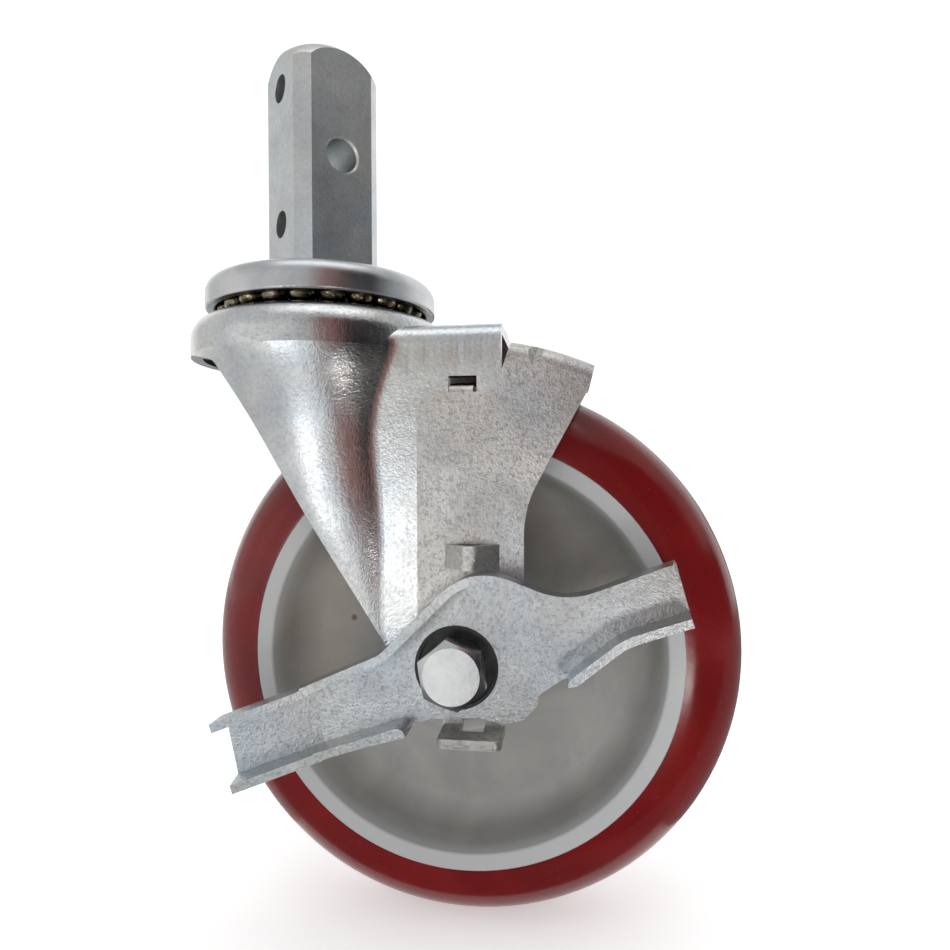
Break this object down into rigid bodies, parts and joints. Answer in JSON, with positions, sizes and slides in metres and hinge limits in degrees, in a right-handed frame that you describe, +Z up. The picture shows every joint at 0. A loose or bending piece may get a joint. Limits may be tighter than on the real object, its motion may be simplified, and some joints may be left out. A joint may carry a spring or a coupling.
{
  "type": "square stem swivel caster",
  "caption": "Swivel caster with a square stem, zinc-plated pressed fork, red polyurethane wheel on a grey core, and a side brake worked by a foot lever.",
  "frame": {"origin": "on the swivel axis at the stem's shoulder, where the raceway cap's flat top meets the stem", "axes": "+Z up along the stem, +X from the swivel axis towards the wheel's side, +Y away from the brake's side"},
  "size_m": [0.1331, 0.069, 0.2101],
  "materials": {
    "zinc_plate": "bright zinc plate, slightly grainy",
    "hardened_steel": "ground",
    "polyurethane": "glossy dark red",
    "grey_plastic": "satin",
    "black_nylon": "satin",
    "ball_steel": "polished, greased"
  },
  "bodies": {
    "stem_body": {"square_stem": "zinc_plate", "raceway_cap": "zinc_plate", "lower_race": "hardened_steel"},
    "upper_ball_row": {"upper_balls": "ball_steel"},
    "lower_ball_row": {"lower_balls": "ball_steel"},
    "fork_body": {"fork": "zinc_plate", "axle_bolt": "zinc_plate", "axle_nut": "zinc_plate", "axle_washer": "zinc_plate", "centre_spacer": "hardened_steel", "near_end_spacer": "hardened_steel", "far_end_spacer": "hardened_steel", "head_collar": "zinc_plate", "lever_bush": "black_nylon", "near_bearing_inner_ring": "hardened_steel", "far_bearing_inner_ring": "hardened_steel"},
    "wheel": {"tyre": "polyurethane", "wheel_core": "grey_plastic", "near_bearing_outer_ring": "hardened_steel", "far_bearing_outer_ring": "hardened_steel", "near_bearing_shields": "hardened_steel", "far_bearing_shields": "hardened_steel"},
    "near_ball_set": {"near_bearing_balls": "ball_steel", "near_bearing_cage": "hardened_steel"},
    "far_ball_set": {"far_bearing_balls": "ball_steel", "far_bearing_cage": "hardened_steel"},
    "lever_body": {"brake_lever": "zinc_plate"},
    "plate_body": {"brake_plate": "zinc_plate"}
  },
  "joints": [
    {"name": "swivel", "type": "hinge", "parent": "stem_body", "child": "fork_body", "pos_m": [0, 0, 0], "axis": [0, 0, 1], "continuous": true},
    {"name": "upper_ball_roll", "type": "hinge", "parent": "stem_body", "child": "upper_ball_row", "pos_m": [0, 0, 0], "axis": [0, 0, 1], "continuous": true},
    {"name": "lower_ball_roll", "type": "hinge", "parent": "stem_body", "child": "lower_ball_row", "pos_m": [0, 0, 0], "axis": [0, 0, 1], "continuous": true},
    {"name": "wheel_spin", "type": "hinge", "parent": "fork_body", "child": "wheel", "pos_m": [0.0381, 0, -0.0895], "axis": [0, 1, 0], "continuous": true},
    {"name": "near_bearing_roll", "type": "hinge", "parent": "fork_body", "child": "near_ball_set", "pos_m": [0.0381, 0, -0.0895], "axis": [0, 1, 0], "continuous": true},
    {"name": "far_bearing_roll", "type": "hinge", "parent": "fork_body", "child": "far_ball_set", "pos_m": [0.0381, 0, -0.0895], "axis": [0, 1, 0], "continuous": true},
    {"name": "lever_turn", "type": "hinge", "parent": "fork_body", "child": "lever_body", "pos_m": [0.0381, -0.025, -0.0895], "axis": [0, 1, 0], "range_deg": [0, 33.5]},
    {"name": "brake_slide", "type": "slide", "parent": "fork_body", "child": "plate_body", "axis": [0, 0, -1], "range_m": [0, 0.0041]}
  ],
  "couplings": [
    {"joint": "upper_ball_roll", "follows": "swivel", "ratio": 0.5},
    {"joint": "lower_ball_roll", "follows": "swivel", "ratio": 0.5},
    {"joint": "near_bearing_roll", "follows": "wheel_spin", "ratio": 0.4},
    {"joint": "far_bearing_roll", "follows": "wheel_spin", "ratio": 0.4},
    {"joint": "brake_slide", "follows": "lever_turn", "m_per_rad": 0.007}
  ]
}
